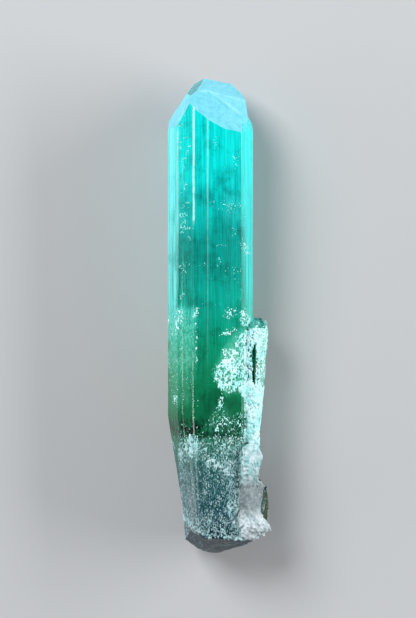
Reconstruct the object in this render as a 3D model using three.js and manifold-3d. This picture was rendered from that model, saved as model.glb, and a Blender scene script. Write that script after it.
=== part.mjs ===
// A natural tourmaline crystal with feldspar matrix on its lower right side, lying on its back face.
// Millimetres. +Y runs along the crystal towards its pointed end, +Z is up, out of the face that shows,
// and +X is the side that carries the side crystals and the matrix.
import * as THREE from "three";
import { ConvexGeometry } from "three/addons/geometries/ConvexGeometry.js";
import { mergeVertices } from "three/addons/utils/BufferGeometryUtils.js";
import Module from "manifold-3d";

const wasm = await Module();
wasm.setup();

// Driving dimensions
const LENGTH = 90; // from the lowest point of the base to the tip
const HALF_WIDTH = 8; // of the main prism
const DEPTH = 14.6; // from the back face to the highest ridge
const BACK_HALF_WIDTH = 4.6; // of the flat back face that the crystal lies on
const RIGHT_REACH = 11.3; // from the prism's axis to the matrix's outermost corner
const GAP = 0.3; // between the crystal and its matrix
const CUTTER = 300; // side of the block that makes each cut
const SAME_POINT = 1e-4; // corners closer than this are one corner
const SPARE = 5; // how far the uncut prism passes the tip

// The main prism's section as (x, z), from the left edge over the front to the back
const PRISM_SECTION = [
  [-HALF_WIDTH, 7.5],
  [-6.1, 12.4],
  [-3.1, 14.0],
  [-0.5, DEPTH],
  [2.6, 14.5],
  [5.8, 13.4],
  [HALF_WIDTH, 8.6],
  [7.4, 4.2],
  [BACK_HALF_WIDTH, 0],
  [-BACK_HALF_WIDTH, 0],
  [-7.6, 3.6],
];

// Each facet is a point on its plane and the way it faces.
// The pointed end: the pyramid's own facets, and a raised step that stands on its right half.
const PYRAMID_FACETS = [
  { point: [-3.1, 83.7, 14.0], faces: [0.58, 1, 1.11] }, // broad front facet
  { point: [-7.6, 82.2, 5.7], faces: [-0.99, 1, -0.5] }, // back left
  { point: [5.8, 79.2, 13.4], faces: [2.46, 1, 1.26] }, // steep right facet
  { point: [8.0, 81.2, 8.6], faces: [1.7, 1, -0.45] }, // back right
];
const STEP_FACETS = [
  { point: [-0.6, 87.5, 9.3], faces: [0.31, 1, 2.88] }, // front riser
  { point: [-4.4, 86.9, 8.8], faces: [-1.75, 1, 0] }, // left flank
  { point: [4.1, 88.9, 4.5], faces: [1.1, 1, 0] }, // right shoulder
  { point: [6.15, 85, 7.0], faces: [1, 0.05, -0.25] }, // right flank
];
const TOP_FACETS = [
  { point: [-6.1, 80.6, 12.4], faces: [-2.18, 1, 0.72] }, // steep left facet
  { point: [-0.6, 87.4, 9.3], faces: [0.27, 1, 0.56] }, // top facet
  { point: [-1.9, 88.0, 9.3], faces: [-0.55, 1, 0.33] }, // glassy left facet
  { point: [-1, 90.0, 4.9], faces: [0, 1, -1.3] }, // back
];
const BASE_FACETS = [
  { point: [-1.1, 3.5, 14.5], faces: [-0.04, -1, 0.5] }, // dark front facet
  { point: [-1.8, 1.1, 9.7], faces: [0.05, -1, 0.37] }, // lower front facet
  { point: [4.8, 1.3, 8.0], faces: [0.4, -1, 0] },
  { point: [-2.8, 1.3, 8.0], faces: [-0.44, -1, 0] },
  { point: [-4.7, 2.8, 8.0], faces: [-0.8, -1, 0] },
  { point: [0, 0, 6.3], faces: [0, -1, -0.5] }, // back
  { point: [-HALF_WIDTH, 26, 7.5], faces: [-1, -0.16, 0] }, // the left side tapers to the base
];

// Smaller crystals grown onto the right side, along the same axis
const SIDE_CRYSTAL = {
  section: [
    [5.6, 9.9],
    [8.4, 11.6],
    [10.4, 10.2],
    [10.9, 7.2],
    [9.8, 4.2],
    [7.2, 3.0],
    [5.4, 5.0],
  ],
  from: 16,
  to: 46,
  facets: [
    { point: [8.2, 43.8, 8], faces: [0.3, 1, 0.25] }, // broken top
    { point: [10.9, 42, 7], faces: [1, -0.09, 0] }, // the right side narrows downwards
    { point: [8.0, 18.6, 8], faces: [0.25, -1, 0.2] },
  ],
};
const STUB_CRYSTAL = {
  section: [
    [6.0, 7.6],
    [9.2, 8.2],
    [10.9, 6.2],
    [10.8, 3.8],
    [8.4, 2.2],
    [5.8, 2.6],
  ],
  from: 5.2,
  to: 13.4,
  facets: [
    { point: [9.5, 13.1, 6], faces: [0.4, 1, 0.2] },
    { point: [9.5, 5.6, 6], faces: [0.5, -1, 0.3] },
  ],
};

// The matrix is lumps of feldspar, each the hull of its own corners as (x, y, z).
const MATRIX_LUMPS = [
  // upper lump, below the side crystal
  [
    [5.2, 20.0, 14.2], [7.4, 21.0, 13.2], [9.3, 19.4, 11.2], [9.7, 18.4, 9.4], [9.2, 16.4, 8.4],
    [8.4, 14.2, 9.0], [5.4, 13.0, 14.2], [7.6, 13.0, 13.0], [7.0, 17.6, 14.2], [7.6, 17.6, 5.2],
    [7.2, 13.2, 5.4],
  ],
  // middle lump
  [
    [5.2, 15.4, 13.8], [7.6, 15.4, 12.8], [9.0, 14.2, 11.2], [10.1, 12.8, 9.8], [9.7, 11.2, 9.0],
    [8.9, 9.4, 9.4], [9.2, 7.4, 11.4], [5.2, 6.8, 13.8], [7.4, 7.2, 13.4], [6.6, 11.6, 14.4],
    [7.4, 14.6, 5.8],
  ],
  // lower block, which reaches furthest out
  [
    [4.6, 8.2, 14.0], [7.2, 8.8, 13.8], [9.4, 7.8, 12.4], [RIGHT_REACH, 4.9, 9.6], [10.0, 3.7, 8.8],
    [7.9, 2.6, 8.6], [5.2, 2.4, 13.0], [6.6, 5.6, 14.4], [9.2, 5.2, 13.0], [7.8, 3.4, 5.6],
    [9.8, 6.6, 8.6], [7.4, 4.6, 3.6],
  ],
];

// A closed geometry as a solid
function solidOf(geometry) {
  const bare = geometry.clone();
  bare.deleteAttribute("normal");
  bare.deleteAttribute("uv");
  const merged = mergeVertices(bare, SAME_POINT);
  return new wasm.Manifold(
    new wasm.Mesh({
      numProp: 3,
      vertProperties: merged.attributes.position.array,
      triVerts: new Uint32Array(merged.index.array),
    }),
  );
}

// A solid as a geometry with flat faces
function geometryOf(solid) {
  const mesh = solid.getMesh();
  const indexed = new THREE.BufferGeometry()
    .setAttribute("position", new THREE.BufferAttribute(mesh.vertProperties, 3))
    .setIndex(new THREE.BufferAttribute(mesh.triVerts, 1));
  const flat = indexed.toNonIndexed();
  flat.computeVertexNormals();
  return flat;
}

// The (x, z) section drawn out along Y between two heights
function prism(section, from, to) {
  const outline = new THREE.Shape(section.map(([x, z]) => new THREE.Vector2(x, -z)));
  const geometry = new THREE.ExtrudeGeometry(outline, { depth: to - from, bevelEnabled: false });
  geometry.rotateX(-Math.PI / 2); // the extrusion now runs along +Y, and the outline's -y is +Z
  geometry.translate(0, from, 0);
  return solidOf(geometry);
}

// Everything in front of the facet's plane, as a large block
function outsideOf({ point, faces }, grow) {
  const normal = new THREE.Vector3(...faces).normalize();
  const block = new THREE.BoxGeometry(CUTTER, CUTTER, CUTTER);
  block.translate(0, 0, CUTTER / 2 + grow);
  const turn = new THREE.Quaternion().setFromUnitVectors(new THREE.Vector3(0, 0, 1), normal);
  block.applyQuaternion(turn);
  block.translate(...point);
  return solidOf(block);
}

const cutBack = (solid, facets, grow = 0) =>
  facets.reduce((left, facet) => left.subtract(outsideOf(facet, grow)), solid);

// The section moved outwards by about grow
function grown(section, grow) {
  const n = section.length;
  const middle = section.reduce(([a, b], [x, z]) => [a + x / n, b + z / n], [0, 0]);
  return section.map(([x, z]) => {
    const away = new THREE.Vector2(x - middle[0], z - middle[1]);
    const length = away.length();
    return away
      .setLength(length + grow)
      .toArray()
      .map((value, i) => value + middle[i]);
  });
}

// The crystal, or with grow the space that its matrix keeps clear
function crystalSolid(grow = 0) {
  const [pyramid, step] = [PYRAMID_FACETS, STEP_FACETS].map((facets) =>
    cutBack(prism(grown(PRISM_SECTION, grow), -grow, LENGTH + SPARE), facets, grow),
  );
  const main = cutBack(pyramid.add(step), [...TOP_FACETS, ...BASE_FACETS], grow);
  const [side, stub] = [SIDE_CRYSTAL, STUB_CRYSTAL].map(({ section, from, to, facets }) =>
    cutBack(prism(grown(section, grow), from, to), facets, grow),
  );
  return main.add(side).add(stub);
}

function matrixSolid() {
  const lumps = MATRIX_LUMPS.map((corners) =>
    solidOf(new ConvexGeometry(corners.map((corner) => new THREE.Vector3(...corner)))),
  );
  return lumps.reduce((sum, lump) => sum.add(lump)).subtract(crystalSolid(GAP));
}

function node(name, solid, material) {
  const mesh = new THREE.Mesh(geometryOf(solid), new THREE.MeshStandardMaterial(material));
  mesh.name = name;
  return mesh;
}

const specimen = new THREE.Group();
specimen.add(
  node("tourmaline_crystal", crystalSolid(), { color: 0x1fb5a5, roughness: 0.15, metalness: 0 }),
  node("feldspar_matrix", matrixSolid(), { color: 0xc3ccca, roughness: 0.75, metalness: 0 }),
);
// The origin is under the middle of the specimen, on the surface that it lies on.
specimen.position.set((HALF_WIDTH - RIGHT_REACH) / 2, -LENGTH / 2, 0);

export default specimen;
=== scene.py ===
"""A tourmaline crystal with its crust and feldspar matrix, lying on a pale studio floor.

The specimen is worked out in millimetres in the crystal's own axes: X runs across the front, Y from
the base to the pointed end, and Z up from the back face that it lies on. place() puts such a mesh
into the frame, which is in metres.
"""
import itertools
import math

import bpy
import numpy as np
from mathutils import Matrix, Vector


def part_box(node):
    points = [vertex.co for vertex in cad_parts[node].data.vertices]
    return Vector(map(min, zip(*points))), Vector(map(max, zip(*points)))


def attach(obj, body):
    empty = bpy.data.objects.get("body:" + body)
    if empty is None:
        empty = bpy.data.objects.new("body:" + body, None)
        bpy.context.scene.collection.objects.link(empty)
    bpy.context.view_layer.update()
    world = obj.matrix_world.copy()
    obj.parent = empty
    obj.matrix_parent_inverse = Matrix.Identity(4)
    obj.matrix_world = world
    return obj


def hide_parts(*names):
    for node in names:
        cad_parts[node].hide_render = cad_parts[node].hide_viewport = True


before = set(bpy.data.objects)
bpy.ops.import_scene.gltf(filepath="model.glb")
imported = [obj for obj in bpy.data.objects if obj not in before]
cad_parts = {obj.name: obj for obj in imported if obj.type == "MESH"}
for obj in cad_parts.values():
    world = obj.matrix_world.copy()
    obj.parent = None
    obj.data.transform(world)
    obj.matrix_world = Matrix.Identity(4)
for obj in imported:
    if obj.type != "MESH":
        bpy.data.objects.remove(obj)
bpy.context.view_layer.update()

crystal_low, crystal_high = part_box("tourmaline_crystal")

# Driving dimensions, in millimetres
MM = 0.001
HALF_WIDTH = 8.0
DEPTH = (crystal_high.z - crystal_low.z) / MM
LENGTH = (crystal_high.y - crystal_low.y) / MM
BACK_HALF_WIDTH = 4.6
FOOT = Vector((crystal_low.x + HALF_WIDTH * MM, crystal_low.y, crystal_low.z))
PLACE = Matrix.Translation(FOOT) @ Matrix.Scale(MM, 4)

# The photograph: its size, and where the crystal's axis and base are on it, in pixels
PIXEL = 0.189
PHOTO_SIZE = (416, 618)
PHOTO_AXIS = 210.3
PHOTO_BASE = 553.5

# The main prism's section as (x, z), from the left edge over the front to the back
PRISM_SECTION = [
    (-HALF_WIDTH, 7.5), (-6.1, 12.4), (-3.1, 14.0), (-0.5, DEPTH), (2.6, 14.5), (5.8, 13.4),
    (HALF_WIDTH, 8.6), (7.4, 4.2), (BACK_HALF_WIDTH, 0.0), (-BACK_HALF_WIDTH, 0.0), (-7.6, 3.6),
]
SIDE_SECTION = [(5.6, 9.9), (8.4, 11.6), (10.4, 10.2), (10.9, 7.2), (9.8, 4.2), (7.2, 3.0), (5.4, 5.0)]
STUB_SECTION = [(6.0, 7.6), (9.2, 8.2), (10.9, 6.2), (10.8, 3.8), (8.4, 2.2), (5.8, 2.6)]
# Towards the base a side draws in: the x that stays, and the edge's x at heights from the base upwards
MAIN_NARROWING = (0.0, [(0.0, -4.5), (9.0, -5.2), (26.0, -HALF_WIDTH)])
SIDE_NARROWING = (7.0, [(16.0, 8.6), (42.0, 10.9)])
# Rounded ends: from and to which height, how far they reach, and the share they draw in
SIDE_ROUNDING = (16.5, 46.0, 6.0, 0.3)
STUB_ROUNDING = (4.5, 14.0, 4.0, 0.15)

# Each facet: a point on its plane, the way it faces, and its finish
PYRAMID_FACETS = [
    ((-3.1, 83.7, 14.0), (0.58, 1, 1.11), "frosted"),
    ((-7.6, 82.2, 5.7), (-0.99, 1, -0.5), "frosted"),
    ((5.8, 79.2, 13.4), (2.46, 1, 1.26), "bright"),
    ((8.0, 81.2, 8.6), (1.7, 1, -0.45), "frosted"),
]
STEP_FACETS = [
    ((-0.6, 87.5, 9.3), (0.31, 1, 2.88), "pale"),
    ((-4.4, 86.9, 8.8), (-1.75, 1, 0), "frosted"),
    ((4.1, 88.9, 4.5), (1.1, 1, 0), "frosted"),
    ((6.15, 85.0, 7.0), (1, 0.05, -0.25), "frosted"),
]
TOP_FACETS = [
    ((-6.1, 80.6, 12.4), (-2.18, 1, 0.72), "satin"),
    ((-0.6, 87.4, 9.3), (0.27, 1, 0.56), "satin"),
    ((-1.9, 88.0, 9.3), (-0.55, 1, 0.33), "chipped"),
    ((-1.0, 90.0, 4.9), (0, 1, -1.3), "frosted"),
]
BASE_FACETS = [
    ((-1.1, 3.5, 14.5), (-0.04, -1, 0.5), "smooth"),
    ((-1.1, 3.6, 14.5), (-0.95, -1, 0.64), "smooth"),
    ((-1.8, 1.1, 9.7), (0.05, -1, 0.37), "broken"),
    ((4.8, 1.3, 8.0), (0.4, -1, 0), "broken"),
    ((-2.8, 1.3, 8.0), (-0.44, -1, 0), "broken"),
    ((-4.7, 2.8, 8.0), (-0.8, -1, 0), "broken"),
    ((0.0, 0.0, 6.3), (0, -1, -0.5), "broken"),
]
SIDE_TOP = [((8.2, 43.8, 8.0), (0.3, 1, 0.25), "jagged")]
SIDE_BASE = [((8.0, 18.6, 8.0), (0.25, -1, 0.2), "jagged")]
STUB_TOP = [((9.5, 13.1, 6.0), (0.4, 1, 0.2), "jagged"), ((10.6, 11.6, 6.0), (1.6, 1, 0.4), "jagged")]
STUB_BASE = [((9.5, 5.6, 6.0), (0.5, -1, 0.3), "jagged"), ((10.6, 7.4, 6.0), (1.8, -1, 0.2), "jagged")]

ALL_FACETS = (
    PYRAMID_FACETS + STEP_FACETS + TOP_FACETS + BASE_FACETS + SIDE_TOP + SIDE_BASE + STUB_TOP + STUB_BASE
)

# How uneven each finish is, as (distance between bumps, their height)
UNEVENNESS = {
    "frosted": [(3.0, 0.03), (0.7, 0.018)],
    "satin": [(2.4, 0.03), (0.6, 0.014)],
    "pale": [(2.0, 0.04), (0.6, 0.03)],
    "bright": [(3.0, 0.04), (0.8, 0.02)],
    "smooth": [(4.0, 0.08), (1.2, 0.04), (0.5, 0.02)],
    "chipped": [(1.6, 0.14), (0.5, 0.05)],
    "broken": [(2.2, 0.22), (0.8, 0.12), (0.35, 0.05)],
    "jagged": [(1.6, 0.7), (0.7, 0.35), (0.35, 0.1)],
}
# How frosted each finish looks, from 0 for glassy to 1, how pale its frost is painted, as painted light
# for facets that face the light, and how dark it is painted, as painted shade
FINISHES = {
    "frosted": (1.0, 0.3, 0.0),
    "satin": (1.0, 0.55, 0.0),
    "pale": (1.0, 0.75, 0.0),
    "bright": (0.35, 0.0, 0.0),
    "smooth": (0.6, 0.0, 0.5),
    "chipped": (0.35, 0.0, 0.7),
    "broken": (0.6, 0.0, 0.4),
    "jagged": (0.1, 0.0, 0.35),
}

# A face can only belong to a facet that it faces this much alike
FACET_LIKENESS = 0.8

# Ribs that stand out of the front face: x, height, half width, and the stretch of Y that they run over
RIBS = [
    (-3.1, 0.2, 0.2, 61.8, 84.0),
    (-0.5, 0.05, 0.15, 30.0, 81.8),
    (-6.1, 0.08, 0.2, 48.0, 79.5),
    (5.9, 0.05, 0.15, 48.0, 78.0),
]
# How strong the painted highlight on each rib's crest is: white is painted where the crest catches the light
RIB_HIGHLIGHT = (0.9, 0.33, 0.5, 0.1)
RIB_FADES = (1.0, 40.0, 12.0, 12.0)  # over how many millimetres each fades out at its lower end

MARK_FADE = 0.8  # over how many millimetres each mark fades out at its two ends
RIB_SEARCH = 2000  # places along the outline that a rib's x is compared with
CREST_SHARE = 1.25  # how much of a rib's crest carries the painted highlight, in half widths
FRONT_SHARE = 0.75  # the share of the depth above which a point belongs to the front

# Striations: their half width, their length and how steep their flanks are
STRIATION_HALF_WIDTH = (0.14, 0.6)
STRIATION_LENGTH = (8, 90)
STRIATION_STEEPNESS = (0.03, 0.1)
SIDE_BUMPS = 2.6  # how far apart the bumps of an uneven side are
RIM_ROUNDS = 4  # how often the height of a rim is corrected

# The groove in the side crystal's ridge, as a rib that sinks in
SLIT_GROOVE = (8.3, -0.9, 0.45, 32.0, 39.8)


def box(left, top, right, bottom):
    """The outline of a rectangle on the photograph"""
    return [(left, top), (right, top), (right, bottom), (left, bottom)]


# Crust on the faces: each outline on the photograph in pixels, and the share of the face it covers
LEFT_CRUST = [
    ([(172, 308), (180, 313), (184, 309), (190, 315), (198, 308), (198, 366), (188, 402), (170, 402)], 0.07),
    ([(172, 312), (184, 310), (180, 330), (172, 345)], 0.36),
    ([(176, 309), (184, 308), (183, 319), (177, 317)], 0.55),
    ([(194, 309), (199, 308), (198, 319), (194, 317)], 0.6),
    (box(195.4, 318, 198, 362), 0.5),
    (box(172, 394, 177, 404), 0.6),
    (box(184, 228, 193, 231), 0.5),
]
RIGHT_CRUST = [
    # main patch, and the solid part below it
    ([(239, 336), (233, 345), (229, 352), (222, 348), (222, 358), (214, 366), (212, 376), (217, 387),
      (227, 394), (238, 388), (246, 402), (250, 425), (251, 452), (262, 452), (270, 400), (271, 330),
      (257, 322), (247, 326)], 0.57),
    ([(238, 334), (252, 326), (264, 330), (252, 352), (240, 360)], 0.66),
    ([(226, 352), (236, 346), (246, 372), (228, 380), (218, 372)], 0.66),
    ([(237, 388), (246, 380), (268, 385), (268, 402), (247, 404)], 1.0),
    ([(243, 396), (268, 396), (264, 452), (247, 452), (248, 442), (243, 432), (247, 420), (244, 408)], 0.95),
    # patches above it
    ([(224, 314), (230, 307), (237, 309), (234, 317), (229, 321)], 0.55),
    ([(241, 311), (246, 309), (250, 318), (247, 327), (241, 326)], 0.66),
    ([(222, 331), (232, 330), (232, 334), (222, 335)], 0.6),
    ([(231, 326), (238, 328), (237, 338), (231, 336)], 0.4),
    ([(222, 348), (231, 347), (230, 356), (222, 357)], 0.66),
    ([(240, 240), (251, 240), (251, 256), (243, 254)], 0.46),
    # streaks below it
    ([(214, 415), (217, 395), (222, 393), (223, 414)], 0.4),
    ([(206, 424), (214, 412), (228, 414), (244, 412), (244, 432), (222, 432)], 0.32),
    (box(176, 425, 246, 438), 0.16),
    (box(193.6, 398, 195.2, 440), 0.45),
]
# The slit between the main and the side crystal, which the crust leaves open; its darkness is painted shade
SLIT = [
    ([(252.2, 350), (254.4, 345), (255.4, 352), (254.8, 359), (256.0, 366), (255.4, 378), (254.4, 384),
      (252.2, 377), (253.0, 368), (251.6, 358)], 1.0),
]
BASE_CRUST = [
    ([(184, 440), (190, 433), (199, 437), (199, 454), (192, 458), (184, 452)], 0.58),
    (box(178, 436, 262, 460), 0.25),
    ([(203, 459), (213, 455), (222, 458), (222, 467), (206, 466)], 0.66),
    ([(176, 460), (262, 460), (262, 536), (206, 531), (190, 519), (178, 514)], 0.13),
    ([(220, 458), (242, 458), (244, 476), (222, 474)], 0.5),
    ([(228, 476), (244, 476), (244, 540), (236, 538), (226, 510)], 0.5),
    ([(238, 450), (246, 450), (246, 542), (233, 540), (236, 500), (240, 480)], 0.8),
    ([(184, 506), (232, 506), (236, 537), (206, 530), (184, 513)], 0.32),
    ([(182, 514), (192, 518), (206, 530), (232, 533), (232, 536), (204, 534), (190, 523), (182, 519)], 0.55),
    ([(178, 516), (190, 522), (206, 534), (206, 546), (178, 546)], 0.08),
]
SIDE_END_CRUST = [
    (box(244, 318, 276, 336), 0.3),
    (box(246, 448, 276, 464), 0.9),
]
STUB_CRUST = [(box(244, 476, 280, 528), 0.35)]
# Where painted shade darkens the body: the darker patches in it
SHADED_ZONES = [
    ([(250, 318), (272, 318), (272, 329), (256, 327)], 0.7),
    ([(214, 172), (238, 168), (240, 236), (216, 236)], 0.34),
    ([(198, 188), (214, 192), (216, 206), (198, 204)], 0.45),
    ([(176, 232), (240, 228), (240, 286), (176, 284)], 0.16),
    ([(196, 262), (216, 264), (216, 275), (196, 272)], 0.4),
    ([(200, 392), (224, 396), (242, 402), (240, 422), (200, 424)], 0.35),
]
# Milky skin of very fine crust, which shows between the grains. The first two zones, down the left and
# right edges, are painted light: the light that shines through the thin edges, painted as bright skin
HAZE_AND_EDGE_LIGHT_ZONES = [
    ([(160, 110), (177.5, 118), (177.5, 250), (176, 306), (172, 345), (160, 345)], 0.85),
    ([(241, 110), (258, 110), (258, 330), (246, 330), (243, 240)], 0.9),
    ([(168, 306), (197, 308), (196, 366), (184, 372), (168, 368)], 0.7),
    ([(168, 366), (196, 366), (190, 402), (168, 410)], 0.4),
    ([(238, 330), (222, 350), (212, 374), (224, 394), (242, 390), (246, 452), (272, 452), (272, 322)], 0.7),
    ([(204, 430), (214, 405), (224, 405), (246, 432), (246, 440)], 0.4),
    (box(166, 436, 272, 462), 0.8),
    ([(166, 460), (258, 460), (256, 524), (166, 524)], 0.7),
    (box(166, 520, 256, 560), 0.15),
    (box(222, 196, 252, 222), 0.25),
]

# What is sealed in the crystal. Specks: x and y on the photograph, half width and half height in pixels,
# how many, and their size in millimetres
SPECK_CLOUDS = [
    (184, 165, 5, 56, 170, 0.10),
    (194.2, 206, 1, 22, 70, 0.14),
    (186, 212, 4, 16, 60, 0.12),
    (188.5, 229.5, 4, 0.8, 30, 0.16),
    (186, 267, 9, 4, 60, 0.16),
    (203, 265, 6, 3, 20, 0.10),
    (215, 205, 4, 5, 30, 0.10),
    (230, 208, 9, 7, 200, 0.12),
    (235, 163, 3, 7, 60, 0.13),
    (216, 147, 3, 14, 40, 0.11),
    (221, 246, 5, 1.5, 26, 0.14),
    (235, 235, 3, 14, 30, 0.12),
    (218, 262, 4, 6, 24, 0.14),
    (236, 272, 10, 10, 70, 0.10),
    (240, 296, 8, 12, 60, 0.10),
    (246, 215, 5, 14, 50, 0.12),
    (210, 180, 30, 60, 150, 0.06),
    (208, 290, 30, 60, 150, 0.06),
]
# Curved cracks that catch the light, as (x, y) on the photograph
CRACKS = [
    [(222, 214), (227, 219), (230, 224), (231, 227)],
    [(224, 204), (231, 201), (238, 206), (241, 213)],
    [(226, 260), (231, 259), (235, 261)],
    [(227, 266), (232, 268), (234, 272)],
    [(238, 264), (243, 263), (246, 261)],
    [(239, 284), (244, 287), (247, 291)],
    [(228, 300), (233, 296), (239, 293)],
    [(236, 228), (238, 235), (239, 248)],
    [(180, 206), (184, 200), (187, 207), (184, 213)],
    [(183, 128), (186, 134), (187, 141)],
    [(184, 190), (188, 195), (186, 201)],
    [(183, 352), (190, 354), (197, 352)],
    [(192, 386), (199, 381), (206, 384), (214, 383)],
]
# Dark fractures across the crystal: x and y on the photograph, and their radius in millimetres
FRACTURES = [
    (213, 196, 0.7), (214, 199, 0.8), (212.5, 202, 0.7), (214, 205, 0.6),
    (198, 265, 1.2), (207, 267, 1.4), (215, 270, 0.8), (226, 256, 0.6),
]
# Etched squiggles on the left of the front face: how many, and the part of the photograph they are in
SQUIGGLES = 22
SQUIGGLE_LOW = (180, 108)
SQUIGGLE_HIGH = (190, 300)
NEEDLES = 70
# The matrix: how many grains it has, and how far out and up it may reach
MATRIX_GRAINS = 900
MATRIX_REACH = 11.5
MATRIX_TOP = 14.7
MATRIX_VOXEL = 0.13
MATRIX_INNER = 5.6  # left of this x its grains may stand out to the left, by up to the next value
MATRIX_SPILL = 0.7
GRAIN_HALF_WIDTHS = (0.2, 0.6)
SMOOTH_STRETCH = (8.5, 13.0)  # the stretch of Y with smaller grains, and how much smaller they are
SMOOTHED = 0.4
MATRIX_EDGE = [(4.0, 4.7), (8.0, 5.3), (14.0, 5.7), (21.0, 6.0)]  # its left edge, as (y, x)


def on_photo(points):
    """(x, y) of points in the crystal's axes as pixels of the photograph"""
    return np.stack([points[:, 0] / PIXEL + PHOTO_AXIS, PHOTO_BASE - points[:, 1] / PIXEL], axis=1)


# Noise
LATTICE_SIZE = 64
LATTICE = np.random.default_rng(5).uniform(-1, 1, (LATTICE_SIZE,) * 3)


def noise(points, distance, shift=0.0):
    """Smooth random values from -1 to 1, a distance apart, at rows of (x, y, z)"""
    cell = points / distance + shift
    low = np.floor(cell).astype(int)
    part = cell - low
    part = part * part * (3 - 2 * part)
    total = np.zeros(len(points))
    for corner in itertools.product((0, 1), repeat=3):
        weight = np.prod(np.where(corner, part, 1 - part), axis=1)
        i, j, k = ((low + corner) % LATTICE_SIZE).T
        total += weight * LATTICE[i, j, k]
    return total


def layered_noise(points, distance, layers=3, shift=0.0):
    """Noise with finer noise on it, each layer half as large"""
    total = sum(
        noise(points, distance / 2**layer, shift + 11.7 * layer) / 2**layer for layer in range(layers)
    )
    return total / (2 - 2 ** (1 - layers))


def covered(pixels, outline, soft):
    """How far inside an outline each pixel is, from 0 to 1 over a soft edge that many pixels wide"""
    corners = np.array(outline, float)
    nearest = np.full(len(pixels), np.inf)
    inside = np.zeros(len(pixels), bool)
    for start, end in zip(corners, np.roll(corners, -1, axis=0)):
        edge = end - start
        share = np.clip((pixels - start) @ edge / (edge @ edge), 0, 1)
        away = np.linalg.norm(pixels - start - share[:, None] * edge, axis=1)
        nearest = np.minimum(nearest, away)
        spans = (start[1] > pixels[:, 1]) != (end[1] > pixels[:, 1])
        crossing = start[0] + (pixels[:, 1] - start[1]) * edge[0] / (edge[1] or 1)
        inside ^= spans & (pixels[:, 0] < crossing)
    signed = np.where(inside, nearest, -nearest)
    return np.clip(signed / soft + 0.5, 0, 1)


def from_photo(x, y):
    """(x, y) in the crystal's axes, of pixels of the photograph"""
    return (np.asarray(x) - PHOTO_AXIS) * PIXEL, (PHOTO_BASE - np.asarray(y)) * PIXEL


# The outlines of zones wander: by how many pixels on the front, how much more for each millimetre
# further down the sides than the front goes, and how far apart the turns are
FRONT_WANDER = 1.2
SIDE_WANDER = 1.6
FRONT_DEPTH = 2
WANDER_DISTANCE = 2.3


def outline_wander(points):
    """How far, in pixels, the outlines of zones wander at each point"""
    below_front = np.clip(DEPTH - FRONT_DEPTH - points[:, 2], 0, None)
    reach = FRONT_WANDER + SIDE_WANDER * below_front
    stretched = points * (0.6, 0.6, 1)
    across = noise(stretched, WANDER_DISTANCE, 4.5)
    along = layered_noise(stretched, WANDER_DISTANCE, 3, 9.5)
    return reach[:, None] * np.stack([across, along], axis=1)


def zone_share(points, zones, soft):
    """The share that the zones give at each point, the larger where two overlap"""
    pixels = on_photo(points) + outline_wander(points)
    share = np.zeros(len(points))
    for outline, amount in zones:
        share = np.maximum(share, amount * covered(pixels, outline, soft))
    return share


def slit_share(points):
    """How much each point belongs to the open slit, from 0 to 1"""
    return zone_share(points, SLIT, soft=2)


# Meshes
def mesh_object(name, points, faces):
    mesh = bpy.data.meshes.new(name)
    mesh.from_pydata(np.asarray(points, float).tolist(), [], faces)
    mesh.update()
    made = bpy.data.objects.new(name, mesh)
    bpy.context.scene.collection.objects.link(made)
    return made


def evaluated_mesh(made):
    """The object's mesh with its modifiers applied"""
    depsgraph = bpy.context.evaluated_depsgraph_get()
    mesh = bpy.data.meshes.new_from_object(made.evaluated_get(depsgraph))
    made.modifiers.clear()
    old = made.data
    made.data = mesh
    bpy.data.meshes.remove(old)
    return made


def combined(first, second, operation):
    """The two closed meshes as one, by UNION, INTERSECT or DIFFERENCE"""
    joining = first.modifiers.new("joining", "BOOLEAN")
    joining.operation = operation
    joining.solver = "MANIFOLD"
    joining.object = second
    evaluated_mesh(first)
    bpy.data.objects.remove(second)
    return first


def place(made):
    """Puts a mesh that is in the crystal's axes into the frame"""
    made.data.transform(PLACE)
    return made


def grid_faces(rows, columns, wraps=False, first=0):
    """Quads over a grid of points, row by row; wraps joins the last column to the first"""
    spans = columns if wraps else columns - 1
    r, c = np.meshgrid(np.arange(rows - 1), np.arange(spans), indexing="ij")
    here = r * columns + c
    beside = r * columns + (c + 1) % columns
    quads = np.stack([here, beside, beside + columns, here + columns], axis=-1)
    return (quads.reshape(-1, 4) + first).tolist()


def points_of(mesh):
    values = np.zeros(len(mesh.vertices) * 3, np.float32)
    mesh.vertices.foreach_get("co", values)
    return values.reshape(-1, 3).astype(float)


def set_attribute(mesh, name, values, domain="POINT"):
    attribute = mesh.attributes.new(name, "FLOAT", domain)
    attribute.data.foreach_set("value", np.asarray(values, np.float32))


def facet_heights(points, facets):
    """The height of each facet's uneven plane over each point's (x, z)"""
    heights = []
    for middle, faces, finish in facets:
        facing = np.array(faces) / np.linalg.norm(faces)
        away = points - middle
        height = middle[1] - (facing[0] * away[:, 0] + facing[2] * away[:, 2]) / facing[1]
        on_plane = np.stack([points[:, 0], height, points[:, 2]], axis=1)
        uneven = sum(
            rise * layered_noise(on_plane, distance, 2, middle[0]) for distance, rise in UNEVENNESS[finish]
        )
        heights.append(height + uneven / facing[1])
    return np.array(heights)


def main_top(points):
    """Height of the pointed end: the pyramid and the step that stands on it, cut by the top facets"""
    pyramid = facet_heights(points, PYRAMID_FACETS).min(axis=0)
    step = facet_heights(points, STEP_FACETS).min(axis=0)
    return np.minimum(np.maximum(pyramid, step), facet_heights(points, TOP_FACETS).min(axis=0))


def top_of(facets):
    return lambda points: facet_heights(points, facets).min(axis=0)


def base_of(facets):
    return lambda points: facet_heights(points, facets).max(axis=0)


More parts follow.
